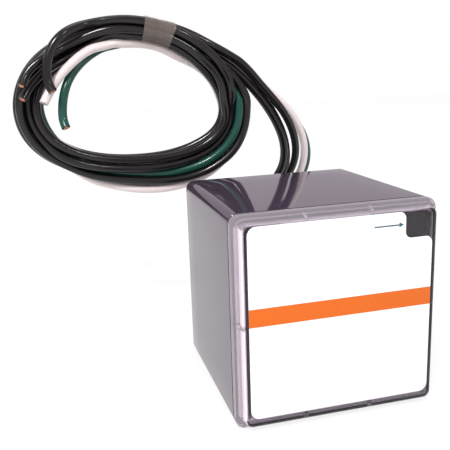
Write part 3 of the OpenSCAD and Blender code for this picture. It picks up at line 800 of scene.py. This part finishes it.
def addSnap(name, x, z, facing):
    # small ramp that runs down the step of the rim; facing points outward from the middle
    fx, fz = facing
    sx, sz = -fz, fx
    h = snaps["half"]
    section = [(-1.0, -40.7), (-1.15, -41.6), (-2.45, -43.8), (-2.75, -43.8), (-2.75, -40.7)]
    loops = []
    for k, scale in ((-1, 0.7), (-0.7, 1), (0.7, 1), (1, 0.7)):
        loop = []
        for inset, y in section:
            drop = inset * (1 if scale == 1 else 1.05)
            loop.append((x + fx * drop + sx * h * k, y, z + fz * drop + sz * h * k))
        loops.append(loop)
    verts, faces = loft(loops)
    return addPiece(name, verts, faces, coverMaterial, sharp=25)


for number, side in enumerate((-1, 1)):
    addSnap(f"rimSnapTop{number + 1}", side * snaps["across"], case["height"], (0, 1))
    addSnap(f"rimSnapBase{number + 1}", side * snaps["across"], 0, (0, -1))
    addSnap(f"rimSnapSide{number + 1}", side * case["width"] / 2, snaps["sideZ"], (side, 0))
print("cover made")


artwork = {"bandLow": 43.3, "bandHigh": 50.5, "arrowZ": 76.8, "arrowFrom": 13, "arrowNeck": 23.4,
           "arrowTip": 25.3, "arrowHalf": 0.28, "headHalf": 1.0}


def labelFinish():
    s = artwork
    f = Finish("printedLabel")
    x, _, z = f.axes()
    x = x * 1000
    z = z * 1000
    band = (z > s["bandLow"]) * (z < s["bandHigh"])
    off = abs(z - s["arrowZ"])
    shaft = (off < s["arrowHalf"]) * (x > s["arrowFrom"]) * (x < s["arrowNeck"])
    spread = (s["arrowTip"] - x) * (s["headHalf"] / (s["arrowTip"] - s["arrowNeck"]))
    head = (off < spread) * (x > s["arrowNeck"])
    ink = f.noise(900, 3)
    paper = f.mix(f.noise(40, 3), (0.90, 0.90, 0.905), (0.93, 0.93, 0.93))
    orange = f.mix(ink, (0.68, 0.134, 0.012), (0.73, 0.150, 0.018))
    steelBlue = f.mix(ink, (0.018, 0.085, 0.12), (0.035, 0.13, 0.17))
    colour = f.mix(band, paper, orange)
    colour = f.mix((shaft + head).clamped(), colour, steelBlue)
    smudge = f.noise(120, 4)
    sockets = {
        "Base Color": colour,
        "Roughness": (0.34 + (smudge - 0.5) * 0.12 - band * 0.05).clamped(),
        "Normal": f.bump(f.noise(700, 3), 0.00001, 0.25),
        "Specular IOR Level": 0.18,
    }
    return f.shade(sockets)


def addLabel():
    s = labelShape
    loops = [labelLoop(-0.12, s["front"]), labelLoop(-0.02, s["front"] + 0.06),
             labelLoop(0, s["front"] + 0.16), labelLoop(0, s["back"])]
    verts, faces = loft(loops)
    piece = addPiece("faceLabel", verts, faces, labelFinish(), sharp=50)
    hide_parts("face_label")


addLabel()
print("label made")


window = {"left": 25.4, "right": 37.5, "low": 70.4, "high": 80.7, "front": -44.45, "back": -40.55,
          "plate": -43.7}
windowFinish = {"dark": (0.016, 0.013, 0.018), "light": (0.028, 0.023, 0.030), "roughness": 0.2,
                "specular": 0.25, "grain": 0.2}


def addWindow():
    w = window
    material = plastic("darkWindow", windowFinish)
    middle = (w["left"] + w["right"]) / 2
    half = (w["right"] - w["left"]) / 2

    def ringAt(inset, y):
        loop = roundedLoop(half - inset, w["low"] + inset, w["high"] - inset,
                           max(1.1 - inset * 0.5, 0.4), y, 6, 2)
        return [(x + middle, d, z) for x, d, z in loop]

    loops = [ringAt(0.9, w["plate"]), ringAt(0.75, w["plate"] - 0.15), ringAt(0.6, w["front"] + 0.05),
             ringAt(0.25, w["front"]), ringAt(0.05, w["front"] + 0.2), ringAt(0.05, w["back"])]
    verts, faces = loft(loops)
    piece = addPiece("statusWindow", verts, faces, material)
    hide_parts("status_window")
    for k in range(4):
        x = middle + 1.1 + 1.05 * k
        rib = []
        for inset, y in ((0.28, w["plate"] + 0.1), (0.22, w["plate"] - 0.45), (0.1, w["plate"] - 0.6)):
            wide = 0.1 + inset
            rib.append([(x - wide, y, w["low"] + 1), (x + wide, y, w["low"] + 1),
                        (x + wide, y, w["high"] - 1), (x - wide, y, w["high"] - 1)])
        verts, faces = loft(rib)
        addPiece(f"windowRib{k + 1}", verts, faces, material)


addWindow()
print("window made")


nipple = {"radius": 10.65, "bore": 7.9, "from": 33.75, "head": 37.7, "headRadius": 14, "end": 62.75,
          "pitch": 1.81, "depth": 0.55, "threadFrom": 43.0, "round": 96}
zinc = {"dark": (0.40, 0.405, 0.41), "light": (0.66, 0.665, 0.67), "roughness": 0.3, "brush": (1, 6, 1)}


def addNipple():
    n = nipple
    loops = []
    rows = [(n["bore"], n["from"]), (n["headRadius"] - 0.5, n["from"]),
            (n["headRadius"], n["from"] + 0.5), (n["headRadius"], n["head"] - 0.3),
            (n["headRadius"] - 0.3, n["head"]), (n["radius"], n["head"]), (n["radius"], n["threadFrom"])]
    y = n["threadFrom"]
    while y < n["end"] - 0.5:
        y += n["pitch"] / 10
        rows.append(("thread", min(y, n["end"] - 0.5)))
    rows += [(n["radius"] - n["depth"] - 0.1, n["end"] - 0.3), (n["radius"] - 0.9, n["end"]),
             (n["bore"] + 0.9, n["end"]), (n["bore"], n["end"] - 1.0)]
    for radius, y in rows:
        loop = []
        for k in range(n["round"]):
            t = 2 * math.pi * k / n["round"]
            r = radius
            if radius == "thread":
                wave = abs(((y / n["pitch"] + k / n["round"]) % 1) * 2 - 1)
                ease = min(1, (y - n["threadFrom"]) / 2)
                r = n["radius"] - n["depth"] * ease * min(1, max(0, 1.25 * wave - 0.12))
            loop.append((case["axis"][0] + r * math.cos(t), y, case["axis"][1] + r * math.sin(t)))
        loops.append(loop)
    verts, faces = loft(loops, ring=True)
    piece = addPiece("conduitNipple", verts, faces, metal("zincNipple", zinc), sharp=50)
    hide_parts("conduit_nipple")


washer = {"inner": 10.9, "outer": 15.5, "near": 40.75, "far": 42.75}
washerFinish = {"dark": (0.012, 0.012, 0.013), "light": (0.024, 0.024, 0.026), "roughness": 0.62,
                "grain": 0.8, "grainDepth": 0.00003, "grainScale": 1400}


def addWasher():
    w, r, a, b = washer["inner"], washer["outer"], washer["near"], washer["far"]
    profile = [(w, a + 0.3), (w + 0.2, a), (r - 0.4, a), (r - 0.1, a + 0.35), (r, (a + b) / 2),
               (r - 0.1, b - 0.35), (r - 0.4, b), (w + 0.2, b), (w, b - 0.3)]
    verts, faces = lathe(profile, case["axis"])
    piece = addPiece("sealingWasher", verts, faces, plastic("washerRubber", washerFinish))
    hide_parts("sealing_washer")


locknut = {"near": 43.25, "far": 46.75, "bore": 10.72, "body": 13.5, "lug": 15.45, "lugs": 6, "share": 0.3,
           "round": 180}


def addLocknut():
    n = locknut

    def outline(shrink, y):
        loop = []
        for k in range(n["round"]):
            t = k / n["round"]
            phase = abs(((t * n["lugs"]) % 1) - 0.5) * 2
            raised = min(1, max(0, (n["share"] + 0.07 - (1 - phase)) / 0.14))
            raised = raised * raised * (3 - 2 * raised)
            r = n["body"] + (n["lug"] - n["body"]) * raised - shrink
            loop.append((r * math.cos(2 * math.pi * t), y, case["axis"][1] + r * math.sin(2 * math.pi * t)))
        return loop

    def bore(grow, y):
        return [((n["bore"] + grow) * math.cos(2 * math.pi * k / n["round"]), y,
                 case["axis"][1] + (n["bore"] + grow) * math.sin(2 * math.pi * k / n["round"]))
                for k in range(n["round"])]

    a, b = n["near"], n["far"]
    loops = [bore(0.35, a), outline(0.4, a), outline(0.1, a + 0.15), outline(0, a + 0.45),
             outline(0, b - 0.55),
             outline(0.15, b - 0.2), outline(0.5, b), bore(0.45, b), bore(0, b - 0.45), bore(0, a + 0.35)]
    verts, faces = loft(loops, ring=True)
    finish = dict(zinc, dark=(0.46, 0.465, 0.47), light=(0.74, 0.745, 0.75), roughness=0.26,
                  brush=(1, 1, 1))
    piece = addPiece("lockNut", verts, faces, metal("zincLocknut", finish), "locknut", 30)
    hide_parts("locknut")


addNipple()
addWasher()
addLocknut()
print("nipple made")


# pieces inside that keep the shape of the part and only get a finish
insides = {
    "cover_gasket": {"dark": (0.22, 0.19, 0.23), "light": (0.32, 0.28, 0.33), "roughness": 0.55,
                     "grain": 0.7, "grainDepth": 0.00003},
    "light_pipes": {"dark": (0.80, 0.83, 0.85), "light": (0.88, 0.90, 0.91), "roughness": 0.08,
                    "transmission": 0.9, "ior": 1.49},
    "status_lamps": {"dark": (0.06, 0.40, 0.12), "light": (0.10, 0.56, 0.18), "roughness": 0.15,
                     "transmission": 0.4, "coat": 0.4},
    "board_standoffs": {"dark": (0.70, 0.69, 0.63), "light": (0.80, 0.79, 0.74), "roughness": 0.45},
    "nipple_potting": {"dark": (0.010, 0.010, 0.011), "light": (0.022, 0.022, 0.024), "roughness": 0.35,
                       "grain": 0.6, "grainDepth": 0.00006, "grainScale": 300},
    "fuse_bodies": {"dark": (0.72, 0.69, 0.60), "light": (0.84, 0.81, 0.73), "roughness": 0.5,
                    "grain": 0.5, "grainDepth": 0.00002},
}
moduleFinish = {"dark": (0.020, 0.021, 0.026), "light": (0.036, 0.037, 0.044), "roughness": 0.42,
                "grain": 0.8, "grainDepth": 0.00003, "grainScale": 1800}
discFinish = {"dark": (0.030, 0.090, 0.30), "light": (0.060, 0.16, 0.46), "roughness": 0.2, "coat": 0.5,
              "cloudScale": 220, "grain": 0.7, "grainDepth": 0.00005, "grainScale": 400}
sliderFinish = {"dark": (0.62, 0.16, 0.025), "light": (0.78, 0.24, 0.050), "roughness": 0.4, "grain": 0.5}
steels = {
    "board_screws": {"dark": (0.46, 0.46, 0.47), "light": (0.70, 0.70, 0.71), "roughness": 0.3},
    "fuse_caps": {"dark": (0.55, 0.55, 0.54), "light": (0.78, 0.78, 0.76), "roughness": 0.22},
    "lead_terminals": {"dark": (0.52, 0.34, 0.12), "light": (0.82, 0.60, 0.26), "roughness": 0.26},
    "lead_cores": {"dark": (0.50, 0.20, 0.10), "light": (0.86, 0.44, 0.28), "roughness": 0.3},
}
springFinish = {"dark": (0.42, 0.43, 0.44), "light": (0.70, 0.71, 0.72), "roughness": 0.25}


def boardFinish():
    f = Finish("circuitBoard")
    weave = f.node("ShaderNodeTexWave", {"wave_type": "BANDS", "bands_direction": "X"},
                   {"Vector": f.place, "Scale": 320, "Distortion": 0.6}, "Fac")
    cells = f.node("ShaderNodeTexVoronoi", {"feature": "F1"}, {"Vector": f.place, "Scale": 230}, "Distance")
    traces = (f.noise(150, 1) > 0.56) * 0.6
    mask = f.mix(traces, (0.010, 0.085, 0.032), (0.020, 0.16, 0.060))
    pads = cells < 0.16
    colour = f.mix(pads, mask, (0.70, 0.66, 0.58))
    sockets = {
        "Base Color": colour,
        "Metallic": pads * 0.9,
        "Roughness": (0.34 - pads * 0.1 + (weave - 0.5) * 0.06).clamped(),
        "Normal": f.bump(traces + pads + weave * 0.08, 0.00004, 0.6),
    }
    return f.shade(sockets)


for node, settings in insides.items():
    giveFinish(node, plastic(node.replace("_", "") + "Finish", settings))
for node, settings in steels.items():
    giveFinish(node, metal(node.replace("_", "") + "Finish", settings))
moduleMaterial = plastic("moduleMoulding", moduleFinish)
discMaterial = plastic("discEpoxy", discFinish)
sliderMaterial = plastic("sliderMoulding", sliderFinish)
springMaterial = metal("springWire", springFinish)
for k in range(1, 5):
    giveFinish(f"module_case_{k}", moduleMaterial)
    giveFinish(f"varistor_disc_{k}", discMaterial)
    giveFinish(f"trip_slider_{k}", sliderMaterial)
    giveFinish(f"slider_spring_{k}", springMaterial)
giveFinish("circuit_board", boardFinish())
giveFinish("inner_leads_black", jackets["black"])
giveFinish("inner_lead_white", jackets["white"])
giveFinish("inner_lead_green", jackets["green"])
print("inside finished")


# lights: name, place, size in metres, watts
studio = {
    "floorHalf": 1.6,
    "world": 0.68,
    "tint": (1, 0.93, 0.985),
    "floorGlow": 0.78,
    "lights": [
        ("keyLight", (-0.75, -0.85, 1.15), (0.8, 0.8), 3.5),
        ("sparkLeft", (-0.42, -0.62, 0.95), (0.17, 0.17), 7.5),
        ("sparkRight", (0.5, -0.75, 0.75), (0.09, 0.09), 1.6),
        ("topLight", (0.1, 0.25, 1.3), (0.7, 0.7), 2.5),
    ],
}


def addFloor():
    f = Finish("paleFloor")
    cloud = f.noise(3, 3)
    colour = f.mix(cloud, (0.22, 0.22, 0.22), (0.25, 0.25, 0.25))
    sockets = {
        "Base Color": colour,
        "Roughness": (0.6 + (cloud - 0.5) * 0.1).clamped(),
        "Specular IOR Level": 0.1,
        "Emission Color": (1, 1, 1, 1),
        "Emission Strength": studio["floorGlow"],
    }
    mesh = bpy.data.meshes.new("floor")
    h = studio["floorHalf"]
    mesh.from_pydata([(-h, -h, 0), (h, -h, 0), (h, h, 0), (-h, h, 0)], [], [(0, 1, 2, 3)])
    mesh.materials.append(f.shade(sockets))
    floor = bpy.data.objects.new("floor", mesh)
    scene.collection.objects.link(floor)


def addLight(name, place, size, power):
    data = bpy.data.lights.new(name, "AREA")
    data.shape = "RECTANGLE"
    data.size, data.size_y = size
    data.energy = power
    lamp = bpy.data.objects.new(name, data)
    lamp.location = place
    aim = Vector((-0.03, 0.02, 0.07)) - Vector(place)
    lamp.rotation_euler = aim.to_track_quat("-Z", "Y").to_euler()
    scene.collection.objects.link(lamp)


def addWorld():
    world = bpy.data.worlds.new("studio")
    world.use_nodes = True
    f = Finish("studio", world)
    seen = f.node("ShaderNodeLightPath", {}, {}, "Is Camera Ray")
    strength = seen * (1 - studio["world"]) + studio["world"]
    tint = f.mix(seen, studio["tint"], (1, 1, 1))
    glow = f.node("ShaderNodeBackground", {}, {"Color": tint, "Strength": strength})
    f.node("ShaderNodeOutputWorld", {}, {"Surface": glow})
    scene.world = world


addWorld()
addFloor()
for light in studio["lights"]:
    addLight(*light)
print("studio lit")
